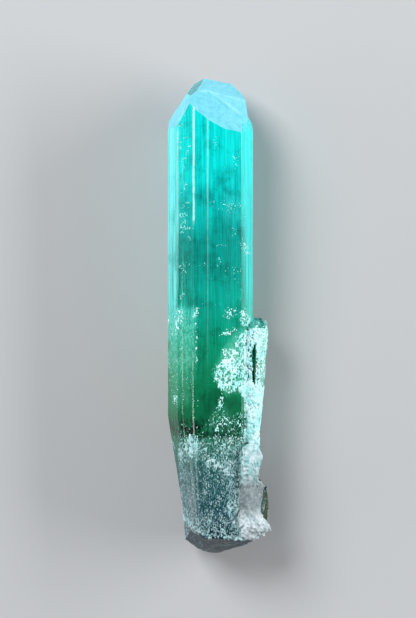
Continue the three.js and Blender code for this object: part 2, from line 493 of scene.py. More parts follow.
class Prism:
    """The sides of a crystal: its outline drawn out along Y, with the marks that run along it"""

    def __init__(self, section, seed, striations, ribs=(), narrowing=None, uneven=(0.06, 0.2), rounded=None):
        corners = np.array(section, float)
        edges = np.roll(corners, -1, axis=0) - corners
        lengths = np.linalg.norm(edges, axis=1)
        facing = np.stack([-edges[:, 1], edges[:, 0]], axis=1) / lengths[:, None]
        at_corner = facing + np.roll(facing, 1, axis=0)
        at_corner /= np.linalg.norm(at_corner, axis=1)[:, None]
        self.corners = np.vstack([corners, corners[:1]])
        self.facing = np.vstack([at_corner, at_corner[:1]])
        self.stations = np.concatenate([[0], np.cumsum(lengths)])
        self.perimeter = self.stations[-1]
        self.narrowing = narrowing
        self.uneven = uneven
        self.rounded = rounded
        self.marks = self.random_striations(seed, striations)
        self.marks += [self.rib(*rib) for rib in ribs]

    def random_striations(self, seed, count):
        """Marks as (place along the outline, half width, height, from, to)"""
        random = np.random.default_rng(seed)
        marks = []
        for _ in range(count):
            half = random.uniform(*STRIATION_HALF_WIDTH)
            length = random.uniform(*STRIATION_LENGTH)
            middle = random.uniform(0, LENGTH)
            height = -half * random.uniform(*STRIATION_STEEPNESS)
            along = random.uniform(0, self.perimeter)
            marks.append((along, half, height, middle - length / 2, middle + length / 2))
        return marks

    def rib(self, x, height, half, start, end):
        along = np.linspace(0, self.perimeter, RIB_SEARCH)
        foot = self.outline(along)[0]
        away = abs(foot[:, 0] - x) + np.where(foot[:, 1] < DEPTH / 2, HALF_WIDTH, 0)
        return (along[away.argmin()], half, height, start, end)

    def outline(self, along):
        """(x, z) on the plain outline, and the way it faces there"""
        along = along % self.perimeter
        foot = np.stack([np.interp(along, self.stations, c) for c in self.corners.T], axis=1)
        facing = np.stack([np.interp(along, self.stations, c) for c in self.facing.T], axis=1)
        return foot, facing / np.linalg.norm(facing, axis=1)[:, None]

    def relief(self, along, heights):
        """Height of the marks over the plain face, at rows of heights over the places along"""
        total = np.zeros(heights.shape)
        for place_along, half, height, start, end in self.marks:
            away = (along - place_along + self.perimeter / 2) % self.perimeter - self.perimeter / 2
            near = abs(away) < half
            level = heights[:, near]
            from_start, from_end = ((gap / MARK_FADE).clip(0, 1) for gap in (level - start, end - level))
            total[:, near] += height * (from_start * from_end) * (1 - abs(away[near]) / half)
        return total

    def surface(self, along, heights, lift=0.0):
        """Points of the face at rows of heights over the places along, as an array (rows, along, 3)"""
        foot, facing = self.outline(along)
        points = np.zeros(heights.shape + (3,))
        points[..., 0] = foot[:, 0]
        points[..., 1] = heights
        points[..., 2] = foot[:, 1]
        rise, squeeze = self.uneven
        stretched = points.reshape(-1, 3) * (1, squeeze, 1)
        uneven = (rise * layered_noise(stretched, SIDE_BUMPS)).reshape(heights.shape)
        out = self.relief(along, heights) + uneven + lift
        points[..., 0] += facing[:, 0] * out
        points[..., 2] += facing[:, 1] * out
        points[..., 2] = np.maximum(points[..., 2], 0)
        if self.rounded:
            low, high, reach, drawn_in = self.rounded
            near_end = np.clip(1 - np.minimum(heights - low, high - heights) / reach, 0, 1)
            keep = 1 - drawn_in * near_end**2
            middle = self.corners[:-1].mean(axis=0)
            points[..., 0] = middle[0] + (points[..., 0] - middle[0]) * keep
            points[..., 2] = middle[1] + (points[..., 2] - middle[1]) * keep
        if self.narrowing:
            pivot, edges = self.narrowing
            levels, edge = np.array(edges).T
            reach = (np.interp(heights, levels, edge) - pivot) / (edge[-1] - pivot)
            beyond = points[..., 0] - pivot
            points[..., 0] = pivot + beyond * np.where(beyond * (edge[-1] - pivot) > 0, reach, 1)
        return points

    def rim(self, along, end, guess):
        """The heights at which the sides meet an end"""
        heights = np.full((1, len(along)), float(guess))
        for _ in range(RIM_ROUNDS):
            heights = end(self.surface(along, heights)[0])[None, :]
        return heights[0]

    def solid(self, name, top, base, step_along, rows, rings):
        """The closed crystal between the ends that top and base give"""
        along = self.fine_places(step_along)
        low, high = self.rim(along, base, 0), self.rim(along, top, LENGTH)
        beside_rim = 0.001
        share = np.concatenate([[0], np.linspace(beside_rim, 1 - beside_rim, rows), [1]])
        sides = self.surface(along, low + (high - low) * share[:, None])
        middle = self.corners[:-1].mean(axis=0)
        over, under = end_rings(sides[-1], top, middle, rings), end_rings(sides[0], base, middle, rings)
        grid = np.vstack([under[::-1], sides, over])
        columns = len(along)
        centre = np.array([[middle[0], 0, middle[1]]])
        centres = np.vstack([centre, centre])
        centres[:, 1] = base(centre)[0], top(centre)[0]
        points = np.vstack([grid.reshape(-1, 3), centres])
        faces = grid_faces(len(grid), columns, wraps=True)
        last = (len(grid) - 1) * columns
        count = len(grid) * columns
        faces += [[count, (c + 1) % columns, c] for c in range(columns)]
        faces += [[last + c, last + (c + 1) % columns, count + 1] for c in range(columns)]
        made = mesh_object(name, points, faces)
        on_side = np.zeros((len(grid) - 1, columns))
        on_side[rings : rings + len(sides) - 1] = 1
        at_centres = np.zeros(2 * columns)
        set_attribute(made.data, "on side", np.concatenate([on_side.ravel(), at_centres]), "FACE")
        return made

    def fine_places(self, step):
        """Places along the outline about a step apart, with one at each corner"""
        spans = zip(self.stations[:-1], self.stations[1:])
        return np.concatenate(
            [np.linspace(a, b, max(2, round((b - a) / step)), endpoint=False) for a, b in spans]
        )


def end_rings(rim, end, middle, count):
    """Rings of points over an end, from just inside its rim towards its middle"""
    shares = np.linspace(1, 0, count + 2)[1:-1]
    centre = np.array([middle[0], 0, middle[1]])
    rings = centre + (rim * (1, 0, 1) - centre) * shares[:, None, None]
    rings[..., 1] = end(rings.reshape(-1, 3)).reshape(rings.shape[:2])
    return rings


main_prism = Prism(PRISM_SECTION, seed=4, striations=150, ribs=RIBS, narrowing=MAIN_NARROWING)
side_prism = Prism(
    SIDE_SECTION, seed=8, striations=40, ribs=[SLIT_GROOVE], narrowing=SIDE_NARROWING,
    uneven=(0.28, 0.4), rounded=SIDE_ROUNDING,
)
stub_prism = Prism(STUB_SECTION, seed=9, striations=20, uneven=(0.5, 0.9), rounded=STUB_ROUNDING)


def crystal_mesh():
    """The main crystal with the side crystal and the stub grown onto it, as one closed mesh"""
    crystal = main_prism.solid(
        "tourmaline", main_top, base_of(BASE_FACETS), step_along=0.13, rows=100, rings=42
    )
    side = side_prism.solid(
        "side", top_of(SIDE_TOP), base_of(SIDE_BASE), step_along=0.14, rows=32, rings=16
    )
    stub = stub_prism.solid(
        "stub", top_of(STUB_TOP), base_of(STUB_BASE), step_along=0.14, rows=12, rings=12
    )
    combined(crystal, side, "UNION")
    combined(crystal, stub, "UNION")
    return crystal


def finish_of_points(mesh):
    """How frosted, pale and dark each point is: as the facets round it, and not at all on the sides"""
    centres = np.array([p.center for p in mesh.polygons])
    normals = np.array([p.normal for p in mesh.polygons])
    on_side = np.array([value.value for value in mesh.attributes["on side"].data]) > 0.5
    finishes, gaps = [], []
    for middle, faces, finish in ALL_FACETS:
        facing = np.array(faces) / np.linalg.norm(faces)
        turned_away = normals @ facing < FACET_LIKENESS
        gaps.append(abs((centres - middle) @ facing) + np.where(turned_away, LENGTH, 0))
        finishes.append(FINISHES[finish])
    of_faces = np.where(on_side[:, None], 0, np.array(finishes)[np.argmin(gaps, axis=0)])
    corners = np.array([loop.vertex_index for loop in mesh.loops])
    of_corners = np.repeat(of_faces, [p.loop_total for p in mesh.polygons], axis=0)
    count = np.bincount(corners, minlength=len(mesh.vertices))
    totals = [np.bincount(corners, weights=part, minlength=len(mesh.vertices)) for part in of_corners.T]
    return np.array(totals) / np.maximum(count, 1)


def left_by_base(points):
    """Whether points of the sides are above the facets of the base"""
    return points[:, 1] > base_of(BASE_FACETS)(points)


SAME_HEIGHT = 0.05  # a facet this close to the surface is the surface
TOP_REACH = 0.3  # points this far below the pointed end's facets still belong to them
EDGE_WIDTH = 0.25


def edges_of_points(points):
    """How near each point of the pointed end is to an edge between two facets, from 0 to 1"""
    pyramid = facet_heights(points, PYRAMID_FACETS)
    step = facet_heights(points, STEP_FACETS)
    tops = facet_heights(points, TOP_FACETS)
    base = np.maximum(pyramid.min(axis=0), step.min(axis=0))
    lowest = np.sort(np.vstack([tops, base[None]]), axis=0)
    gap = lowest[1] - lowest[0]
    for facets in (pyramid, step):
        ordered = np.sort(facets, axis=0)
        on_these = abs(ordered[0] - lowest[0]) < SAME_HEIGHT
        gap = np.minimum(gap, np.where(on_these, ordered[1] - ordered[0], gap))
    foot = abs(pyramid.min(axis=0) - step.min(axis=0))
    gap = np.minimum(gap, np.where(abs(base - lowest[0]) < SAME_HEIGHT, foot, gap))
    on_top = points[:, 1] > lowest[0] - TOP_REACH
    return np.clip(1 - gap / EDGE_WIDTH, 0, 1) * on_top


def rib_highlight_of_points(points):
    """How strong the painted highlight along the crests of the ribs is, from 0 to 1"""
    painted_highlight = np.zeros(len(points))
    for (x, _, half, start, end), white, fade in zip(RIBS, RIB_HIGHLIGHT, RIB_FADES):
        away = abs(points[:, 0] - x)
        on_rib = np.clip(CREST_SHARE - away / half, 0, 1) * (points[:, 2] > DEPTH * FRONT_SHARE)
        within = np.clip((points[:, 1] - start) / fade, 0, 1) * (points[:, 1] < end)
        painted_highlight = np.maximum(painted_highlight, white * on_rib * within)
    return painted_highlight


# Materials
class Nodes:
    """Builds a material's nodes"""

    def __init__(self, name):
        self.material = bpy.data.materials.new(name)
        self.material.use_nodes = True
        self.tree = self.material.node_tree
        self.shader = self.tree.nodes["Principled BSDF"]
        self.output = self.tree.nodes["Material Output"]

    def add(self, kind, inputs=None, **settings):
        made = self.tree.nodes.new("ShaderNode" + kind)
        for key, value in settings.items():
            setattr(made, key, value)
        for key, value in (inputs or {}).items():
            self.give(made.inputs[key], value)
        return made

    def give(self, socket, value):
        if isinstance(value, bpy.types.NodeSocket):
            self.tree.links.new(value, socket)
        else:
            socket.default_value = value

    def set(self, **inputs):
        """Sets the shader's inputs, with _ for a space in their names"""
        for key, value in inputs.items():
            self.give(self.shader.inputs[key.replace("_", " ")], value)

    def math(self, operation, a, b=0.0, clamp=False):
        return self.add("Math", {0: a, 1: b}, operation=operation, use_clamp=clamp).outputs[0]

    def place(self, stretch=(1, 1, 1)):
        """The point in the crystal's axes in millimetres, stretched"""
        here = self.add("TexCoord").outputs["Object"]
        moved = self.add("VectorMath", {0: here, 1: tuple(FOOT)}, operation="SUBTRACT").outputs[0]
        scale = tuple(s / MM for s in stretch)
        return self.add("VectorMath", {0: moved, 1: scale}, operation="MULTIPLY").outputs[0]

    def noise(self, scale, stretch=(1, 1, 1), detail=3.0, roughness=0.55):
        inputs = {"Vector": self.place(stretch), "Scale": scale, "Detail": detail, "Roughness": roughness}
        return self.add("TexNoise", inputs).outputs["Fac"]

    def pattern(self, name):
        """How much of a named pattern there is at each point"""
        scale, stretch, detail, roughness, span, amounts = PATTERNS[name]
        return self.ranged(self.noise(scale, stretch, detail, roughness), *span, *amounts)

    def across_and_along(self):
        """The point's X and Y in the crystal's axes"""
        here = self.add("SeparateXYZ", {0: self.place()}).outputs
        return here["X"], here["Y"]

    def ranged(self, value, low, high, to_low=0.0, to_high=1.0):
        inputs = {"Value": value, "From Min": low, "From Max": high, "To Min": to_low, "To Max": to_high}
        return self.add("MapRange", inputs).outputs["Result"]

    def mixed(self, share, a, b, blend="MIX"):
        made = self.add("Mix", data_type="RGBA", blend_type=blend)
        for key, value in {"Factor_Float": share, "A_Color": a, "B_Color": b}.items():
            socket = next(s for s in made.inputs if s.identifier == key)
            self.give(socket, value)
        return next(s for s in made.outputs if s.identifier == "Result_Color")

    def ramp(self, value, stops):
        made = self.add("ValToRGB", {"Fac": value})
        colours = made.color_ramp.elements
        while len(colours) < len(stops):
            colours.new(0.5)
        for element, (at, *colour) in zip(colours, stops):
            element.position = at
            element.color = rgb(*colour)
        return made.outputs["Color"]

    def attribute(self, name):
        return self.add("Attribute", attribute_name=name).outputs["Fac"]

    def bump(self, heights):
        """One bump on another, as (height socket, distance in millimetres)"""
        normal = None
        for height, distance in heights:
            inputs = {"Height": height, "Distance": distance * MM, "Strength": 1.0}
            made = self.add("Bump", inputs)
            if normal:
                self.give(made.inputs["Normal"], normal)
            normal = made.outputs["Normal"]
        return normal


def rgb(red, green, blue):
    return (red, green, blue, 1.0)


# The crystal's tint from its base to its point: the share of its length, and a colour
BODY_TINTS = [
    (0.0, 0.01, 0.03, 0.05),
    (0.10, 0.01, 0.06, 0.08),
    (0.18, 0.01, 0.10, 0.10),
    (0.235, 0.0, 0.11, 0.05),
    (0.29, 0.0, 0.30, 0.12),
    (0.36, 0.0, 0.42, 0.18),
    (0.44, 0.0, 0.57, 0.32),
    (0.53, 0.0, 0.74, 0.57),
    (0.65, 0.0, 0.72, 0.63),
    (0.75, 0.0, 0.90, 0.85),
    (1.0, 0.0, 1.0, 0.98),
]
ABSORBED = rgb(0.1, 0.98, 0.97)
ABSORPTION = 22.0
# How clear the body is, as a grey in the same form
CLARITY = [
    (0.18, 0.4, 0.4, 0.4),
    (0.33, 0.6, 0.6, 0.6),
    (0.65, 0.58, 0.58, 0.58),
    (0.8, 0.34, 0.34, 0.34),
]
TOURMALINE_IOR = 1.63
BRIGHT_INCLUSION = rgb(0.42, 0.92, 0.90)
DARK_INCLUSION = rgb(0.0, 0.12, 0.07)
STUB_TINT = rgb(0.03, 0.06, 0.015)
# The colour that painted shade multiplies the body's tint by
SHADE = rgb(0.1, 0.14, 0.16)
# Colour of the milky skin on the faces, in the same form; its bright cyan towards the point is the
# painted light of the edge bands
SKIN_TINTS = [
    (0.0, 0.02, 0.06, 0.09),
    (0.06, 0.02, 0.08, 0.11),
    (0.12, 0.02, 0.12, 0.14),
    (0.2, 0.05, 0.18, 0.17),
    (0.25, 0.04, 0.24, 0.15),
    (0.32, 0.08, 0.44, 0.30),
    (0.42, 0.11, 0.56, 0.42),
    (0.55, 0.05, 0.66, 0.62),
    (1.0, 0.0, 0.86, 0.86),
]
# Painted light down the left edge, where light shines through it
PAINTED_EDGE_LIGHT = rgb(0.26, 0.84, 0.88)
LINE_SHADE = rgb(0.2, 0.66, 0.68)
STREAK_SHADE = rgb(0.2, 0.62, 0.6)
GRIT = rgb(0.42, 0.86, 0.94)
SCRATCH = rgb(0.13, 0.21, 0.25)
# The white of the painted highlight on the rib crests and the facet edges
HIGHLIGHT_WHITE = rgb(0.62, 0.97, 0.97)
# Pairs of colours, between which a pattern goes
FROST = rgb(0.07, 0.42, 0.52), rgb(0.18, 0.58, 0.71)
DARK_BASE = rgb(0.0, 0.016, 0.032), rgb(0.016, 0.05, 0.075)
# The crust's own white, with the teal light from the crystal beneath painted in as cyan
CLEAN_TEAL_LIT_CRUST = rgb(0.37, 0.80, 0.80), rgb(0.70, 0.90, 0.93)
DUSTY_TEAL_LIT_CRUST = rgb(0.23, 0.42, 0.44), rgb(0.50, 0.66, 0.69)
GREY_ROCK = rgb(0.33, 0.41, 0.44), rgb(0.60, 0.67, 0.71)
GLASSY_ROCK = rgb(0.10, 0.14, 0.15), rgb(0.22, 0.27, 0.29)
ICY_ROCK = rgb(0.22, 0.43, 0.44), rgb(0.47, 0.61, 0.64)

# Where one look turns into the next, from and to which X or Y in millimetres
STUB_X = (8.1, 8.4)
STUB_Y = (14.0, 13.6)
PITTED_BAND = [(20.5, 22.0), (27.0, 24.5)]
LINED_FROM = (42.0, 50.0)
LEFT_SIDE = (-6.2, -5.2)
EDGE_LIGHT_FROM = (40.0, 52.0)
POINT_FROM = (50.0, 60.0)
CLEAN_FROM = (16.0, 24.0)
GLASSY_FROM = (7.0, 9.0)
ICY_FROM = (13.0, 16.0)

# Patterns of noise: how fine, how stretched, its detail and roughness, the span of its values that
# counts, and the amounts at that span's two ends
EVEN = (1, 1, 1)
PATTERNS = {
    "broad streaks": (1.0, (2.2, 0.06, 2.2), 3, 0.55, (0.35, 0.6), (0.5, 0)),
    "fine streaks": (1.0, (6.5, 0.14, 6.5), 3, 0.55, (0.38, 0.55), (0.75, 0)),
    "dark clouds": (0.3, (1, 0.8, 1), 6, 0.7, (0.4, 0.5), (0.7, 0)),
    "pit_shade": (1.6, (1, 0.7, 1), 3, 0.55, (0.46, 0.54), (0, 1)),
    "patchy shade": (0.7, (1.6, 0.6, 1.6), 5, 0.55, (0.36, 0.6), (0.3, 1.2)),
    "beads": (1.8, (1, 0.5, 1), 3, 0.55, (0.36, 0.56), (0.5, 1)),
    "grainy skin": (2.2, (1, 0.45, 1), 5, 0.7, (0.38, 0.62), (0.35, 1)),
    "lined skin": (1.0, (4.5, 0.03, 4.5), 2, 0.55, (0.4, 0.52), (0.45, 1)),
    "cloudy ends": (0.9, EVEN, 7, 0.7, (0.38, 0.62), (0, 0.7)),
    "scratches": (1.0, (0.5, 3.5, 5.0), 6, 0.75, (0.5, 0.68), (0, 1)),
    "grit": (7.0, EVEN, 3, 0.55, (0.64, 0.72), (0, 0.5)),
    "crust patches": (0.7, EVEN, 4, 0.55, (0.38, 0.62), (0, 1)),
    "crust grains": (4.0, EVEN, 4, 0.55, (0.35, 0.65), (0.45, 0)),
    "rock clouds": (0.5, EVEN, 3, 0.55, (0.38, 0.62), (0, 1)),
    "rock grains": (3.0, EVEN, 5, 0.65, (0.35, 0.65), (0.5, 0)),
    "inclusion shade": (3.0, EVEN, 3, 0.55, (0.35, 0.65), (0.6, 1)),
}


def body_tint(nodes, x, y):
    """The body's colour along the crystal, with streaks, darker clouds, the stub's own tint and painted
    shade
    """
    waviness = nodes.math("MULTIPLY", nodes.math("SUBTRACT", nodes.noise(0.5), 0.5), 7.0)
    share = nodes.math("DIVIDE", nodes.math("ADD", y, waviness), LENGTH, clamp=True)
    tint = nodes.ramp(share, BODY_TINTS)
    for name in ("broad streaks", "fine streaks", "dark clouds"):
        tint = nodes.mixed(nodes.pattern(name), tint, STREAK_SHADE, "MULTIPLY")
    stub = nodes.math("MULTIPLY", nodes.ranged(x, *STUB_X), nodes.ranged(y, *STUB_Y))
    tint = nodes.mixed(stub, tint, STUB_TINT)
    # Painted shade of pits: dark spots in a band, where no pits are modelled
    band = nodes.math("MULTIPLY", *(nodes.ranged(y, *edge) for edge in PITTED_BAND))
    pit_shade = nodes.math("MULTIPLY", nodes.pattern("pit_shade"), band)
    # Painted shade: the slit and the shaded zones (dark), and the darker end facets (deep)
    shaded = nodes.math("MULTIPLY", nodes.attribute("dark"), nodes.pattern("patchy shade"), clamp=True)
    dark = nodes.math("MAXIMUM", pit_shade, nodes.math("MAXIMUM", shaded, nodes.attribute("deep")))
    return nodes.mixed(dark, tint, SHADE, "MULTIPLY")


def milky_skin_and_edge_light(nodes, x, y):
    """The colour of the skin of very fine crust, grainy below and lined above, with painted light down
    the left edge, and how much there is, which on the edge bands is painted light
    """
    grainy, lined = nodes.pattern("grainy skin"), nodes.pattern("lined skin")
    upper = nodes.ranged(y, *LINED_FROM)
    above = nodes.math("MULTIPLY", upper, lined)
    below = nodes.math("MULTIPLY", nodes.math("SUBTRACT", 1.0, upper), grainy)
    texture = nodes.math("ADD", above, below)
    skin_and_edge_light = nodes.math("MULTIPLY", nodes.attribute("haze_and_edge_light"), texture, clamp=True)
    skin = nodes.ramp(nodes.math("DIVIDE", y, LENGTH), SKIN_TINTS)
    # Painted light: the left edge is made paler towards the point, where light shines through it
    lit_left_edge = nodes.ranged(x, *LEFT_SIDE, 0.8, 0.0)
    lit_left_edge = nodes.math("MULTIPLY", lit_left_edge, nodes.ranged(y, *EDGE_LIGHT_FROM))
    skin = nodes.mixed(lit_left_edge, skin, PAINTED_EDGE_LIGHT)
    lines = nodes.math("SUBTRACT", 1.0, lined)
    lines = nodes.math("MULTIPLY", lines, nodes.ranged(y, *LINED_FROM, 0.0, 1.6))
    return nodes.mixed(lines, skin, LINE_SHADE, "MULTIPLY"), skin_and_edge_light


def end_colour(nodes, y):
    """Pale frost with grit at the point, each facet painted paler as painted light, and dark mottled
    facets with scratches at the base
    """
    cloudy = nodes.pattern("cloudy ends")
    # Painted light: each facet's frost is made paler by the pale value of its finish
    paleness = nodes.math("MULTIPLY", nodes.attribute("pale"), 0.7)
    paleness = nodes.math("ADD", paleness, cloudy, clamp=True)
    point = nodes.mixed(nodes.pattern("grit"), nodes.mixed(paleness, *FROST), GRIT)
    base = nodes.mixed(nodes.ranged(cloudy, 0.2, 0.65), *DARK_BASE)
    base = nodes.mixed(nodes.pattern("scratches"), base, SCRATCH)
    return nodes.mixed(nodes.ranged(y, *POINT_FROM), base, point)


def tourmaline_material():
    nodes = Nodes("tourmaline")
    x, y = nodes.across_and_along()
    # Milky skin, which on the edge bands is painted light shining through the thin edges
    skin, skin_and_edge_light = milky_skin_and_edge_light(nodes, x, y)
    colour = nodes.mixed(skin_and_edge_light, body_tint(nodes, x, y), skin)
    frost = nodes.attribute("frost")
    colour = nodes.mixed(frost, colour, end_colour(nodes, y))
    # Painted highlight: white on the rib crests and the facet edges, broken into beads
    painted_highlight = nodes.math("MULTIPLY", nodes.attribute("painted_highlight"), nodes.pattern("beads"))
    colour = nodes.mixed(painted_highlight, colour, HIGHLIGHT_WHITE)
    dull = nodes.math("MAXIMUM", nodes.math("MAXIMUM", frost, painted_highlight), skin_and_edge_light)
    clarity = nodes.ramp(nodes.math("DIVIDE", y, LENGTH), CLARITY)
    in_slit = nodes.ranged(nodes.attribute("dark"), 0.75, 1.0, 0.0, 0.6)
    nodes.set(
        Base_Color=colour,
        Roughness=nodes.math("MAXIMUM", nodes.ranged(dull, 0, 1, 0.05, 0.5), in_slit),
        Transmission_Weight=nodes.math("MULTIPLY", nodes.ranged(dull, 0, 1, 1.0, 0.25), clarity),
        IOR=TOURMALINE_IOR,
        Specular_IOR_Level=0.3,
    )
    fine = nodes.noise(1.0, (9, 0.35, 9), detail=4)
    pitted = nodes.noise(5.0, detail=4)
    nodes.set(Normal=nodes.bump([(fine, 0.012), (pitted, 0.008)]))
    volume = nodes.add("VolumeAbsorption", {"Color": ABSORBED, "Density": ABSORPTION})
    nodes.give(nodes.output.inputs["Volume"], volume.outputs["Volume"])
    return nodes.material


def crust_material():
    nodes = Nodes("crust")
    _, y = nodes.across_and_along()
    patches = nodes.pattern("crust patches")
    # Painted light: the white crust is tinted cyan for the teal light from the crystal beneath
    clean, dusty = (nodes.mixed(patches, *pair) for pair in (CLEAN_TEAL_LIT_CRUST, DUSTY_TEAL_LIT_CRUST))
    colour = nodes.mixed(nodes.ranged(y, *CLEAN_FROM), dusty, clean)
    colour = nodes.mixed(nodes.pattern("crust grains"), colour, rgb(0.4, 0.76, 0.72), "MULTIPLY")
    nodes.set(Base_Color=colour, Roughness=0.5, Transmission_Weight=0.12, IOR=1.5)
    nodes.set(Normal=nodes.bump([(nodes.noise(7.0, detail=5), 0.05)]))
    return nodes.material


def feldspar_material():
    nodes = Nodes("feldspar")
    _, y = nodes.across_and_along()
    clouds = nodes.pattern("rock clouds")
    grey, glassy, icy = (nodes.mixed(clouds, *pair) for pair in (GREY_ROCK, GLASSY_ROCK, ICY_ROCK))
    colour = nodes.mixed(nodes.ranged(y, *GLASSY_FROM), grey, glassy)
    colour = nodes.mixed(nodes.ranged(y, *ICY_FROM), colour, icy)
    colour = nodes.mixed(nodes.pattern("rock grains"), colour, rgb(0.5, 0.58, 0.57), "MULTIPLY")
    nodes.set(Base_Color=colour, Roughness=0.42, Subsurface_Weight=0.3)
    nodes.set(Subsurface_Radius=(1.0, 1.0, 0.95), Subsurface_Scale=0.5 * MM)
    nodes.set(Normal=nodes.bump([(nodes.noise(4.0, detail=5), 0.08)]))
    return nodes.material


def inclusion_material(name, colour):
    nodes = Nodes(name)
    shaded = nodes.mixed(nodes.pattern("inclusion shade"), rgb(0.05, 0.5, 0.45), colour)
    nodes.set(Base_Color=shaded, Roughness=0.3)
    return nodes.material


def floor_material():
    nodes = Nodes("floor")
    nodes.set(Base_Color=rgb(0.40, 0.41, 0.42), Roughness=0.9)
    return nodes.material


# Stage
def add_floor():
    half = 4.0
    corners = [(-half, -half, 0), (half, -half, 0), (half, half, 0), (-half, half, 0)]
    floor = mesh_object("floor", corners, [(0, 1, 2, 3)])
    floor.location.z = -0.02 * MM
    floor.data.materials.append(floor_material())


def add_camera():
    """Looks straight down on the crystal, which is how the photograph sees it"""
    away = 0.5
    frame_height = PHOTO_SIZE[1] * PIXEL * MM
    middle = np.array([[PHOTO_SIZE[0] / 2 - PHOTO_AXIS, PHOTO_BASE - PHOTO_SIZE[1] / 2]]) * PIXEL * MM
    data = bpy.data.cameras.new("camera")
    data.sensor_width = 36.0
    data.lens = data.sensor_width * away / frame_height
    data.clip_start = 0.01
    camera = bpy.data.objects.new("camera", data)
    camera.location = (FOOT.x + middle[0, 0], FOOT.y + middle[0, 1], DEPTH * MM / 2 + away)
    bpy.context.scene.collection.objects.link(camera)
    bpy.context.scene.camera = camera


def add_light(name, place_at, size, power, colour=(1, 1, 1)):
    """A soft rectangular light that faces the specimen"""
    data = bpy.data.lights.new(name, "AREA")
    data.shape = "RECTANGLE"
    data.size, data.size_y = size
    data.energy = power
    data.color = colour
    light = bpy.data.objects.new(name, data)
    light.location = place_at
    light.rotation_euler = (-Vector(place_at)).to_track_quat("-Z", "Y").to_euler()
    light.visible_camera = False
    bpy.context.scene.collection.objects.link(light)


def add_world():
    """A soft surround, bright round the horizon and dim overhead"""
    world = bpy.data.worlds.new("studio")
    world.use_nodes = True
    nodes, links = world.node_tree.nodes, world.node_tree.links
    direction = nodes.new("ShaderNodeTexCoord")
    split = nodes.new("ShaderNodeSeparateXYZ")
    ramp = nodes.new("ShaderNodeValToRGB")
    links.new(direction.outputs["Generated"], split.inputs[0])
    links.new(split.outputs["Z"], ramp.inputs["Fac"])
    links.new(ramp.outputs["Color"], nodes["Background"].inputs["Color"])
    horizon, overhead = ramp.color_ramp.elements
    horizon.position, horizon.color = 0.1, rgb(0.6, 0.61, 0.62)
    overhead.position, overhead.color = 0.9, rgb(0.1, 0.1, 0.11)
    nodes["Background"].inputs["Strength"].default_value = 0.85
    bpy.context.scene.world = world


def add_lights():
    add_world()
    add_light("key", (-0.4, 0.4, 0.55), (0.4, 0.4), 7.2)
    add_light("left strip", (-0.5, -0.05, 0.12), (0.5, 0.1), 1.2)
    add_light("right strip", (0.5, 0.05, 0.2), (0.5, 0.1), 3.8)


def set_view():
    scene = bpy.context.scene
    scene.view_settings.view_transform = "Standard"
    scene.cycles.use_denoising = True
    scene.cycles.max_bounces = 16
    scene.cycles.transmission_bounces = 16


# Pieces
def dress(made, material):
    made.data.materials.clear()
    made.data.materials.append(material)
    place(made)
    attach(made, "root")
    return made


def shade_smooth(made, sharp_degrees):
    mesh = made.data
    mesh.polygons.foreach_set("use_smooth", [True] * len(mesh.polygons))
    mesh.set_sharp_from_angle(angle=math.radians(sharp_degrees))


def add_crystal():
    crystal = crystal_mesh()
    mesh = crystal.data
    points = points_of(mesh)
    open_slit = slit_share(points)
    # Painted shade: the slit and the shaded zones darken the body
    set_attribute(mesh, "dark", np.maximum(open_slit, zone_share(points, SHADED_ZONES, soft=8)))
    # Haze: milky skin of fine crust, and on the left and right edge bands painted light
    set_attribute(mesh, "haze_and_edge_light", zone_share(points, HAZE_AND_EDGE_LIGHT_ZONES, soft=5) * (1 - open_slit))
    # Painted highlight: the rib crests, and more faintly the edges between the facets at the point
    set_attribute(mesh, "painted_highlight", np.maximum(rib_highlight_of_points(points), 0.2 * edges_of_points(points)))
    # Per facet: how frosted it is, its painted light (pale) and its painted shade (deep)
    for name, values in zip(("frost", "pale", "deep"), finish_of_points(mesh)):
        set_attribute(mesh, name, values)
    shade_smooth(crystal, 15)
    dress(crystal, tourmaline_material())
    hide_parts("tourmaline_crystal")


def closed_shell(name, top, bottom, kept):
    """A closed mesh between two grids of points, over the cells that are kept"""
    rows, columns = kept.shape
    width = columns + 1
    r, c = np.nonzero(kept)
    here = r * width + c
    quads = np.stack([here, here + 1, here + width + 1, here + width], axis=1)
    count = top.shape[0] * top.shape[1]
    faces = [quads, quads[:, ::-1] + count]
    padded = np.pad(kept, 1)
    sides = [((0, 1), 0, 1), ((1, 2), 1, width + 1), ((2, 1), width + 1, width), ((1, 0), width, 0)]
    for (down, right), start, end in sides:
        open_side = kept & ~padded[down : down + rows, right : right + columns]
        r, c = np.nonzero(open_side)
        corner = r * width + c
        a, b = corner + start, corner + end
        faces.append(np.stack([b, a, a + count, b + count], axis=1))
    faces = np.vstack(faces)
    used, faces = np.unique(faces, return_inverse=True)
    points = np.vstack([top.reshape(-1, 3), bottom.reshape(-1, 3)])[used]
    return mesh_object(name, points, faces.reshape(-1, 4).tolist())


# The crust: how far apart its patches, the ridges of its network and its grains are, how high it gets,
# how deep its underside is below the face, and how far apart the points of its mesh are
PATCH_DISTANCE = 1.1
RIDGE_DISTANCE = 0.34
SUGAR_DISTANCE = 0.17
CRUST_SINK = -0.05
CRUST_RISE = 0.14
CRUST_ROOT = -0.12
CRUST_STEP = 0.12
# Above which share the crust is solid, and how much higher it is there
SOLID_SHARE = 0.9
SOLID_RISE = 0.08
# There is no crust below the first height, where the crystal rests, and less of it up to the second
BARE_BELOW = 0.6
THIN_BELOW = 4.0
THINNED = 0.75
# The valley between the main and the side crystal: its stretch of Y, its floor as (x, z), and how far
# the crust there goes up and down from it
VALLEY = (19.5, 42.6)
VALLEY_FLOOR = [(6.3, 12.3), (6.7, 11.7), (8.4, 11.6), (9.4, 10.9)]
VALLEY_RISE = 0.2
VALLEY_ROOT = 1.2


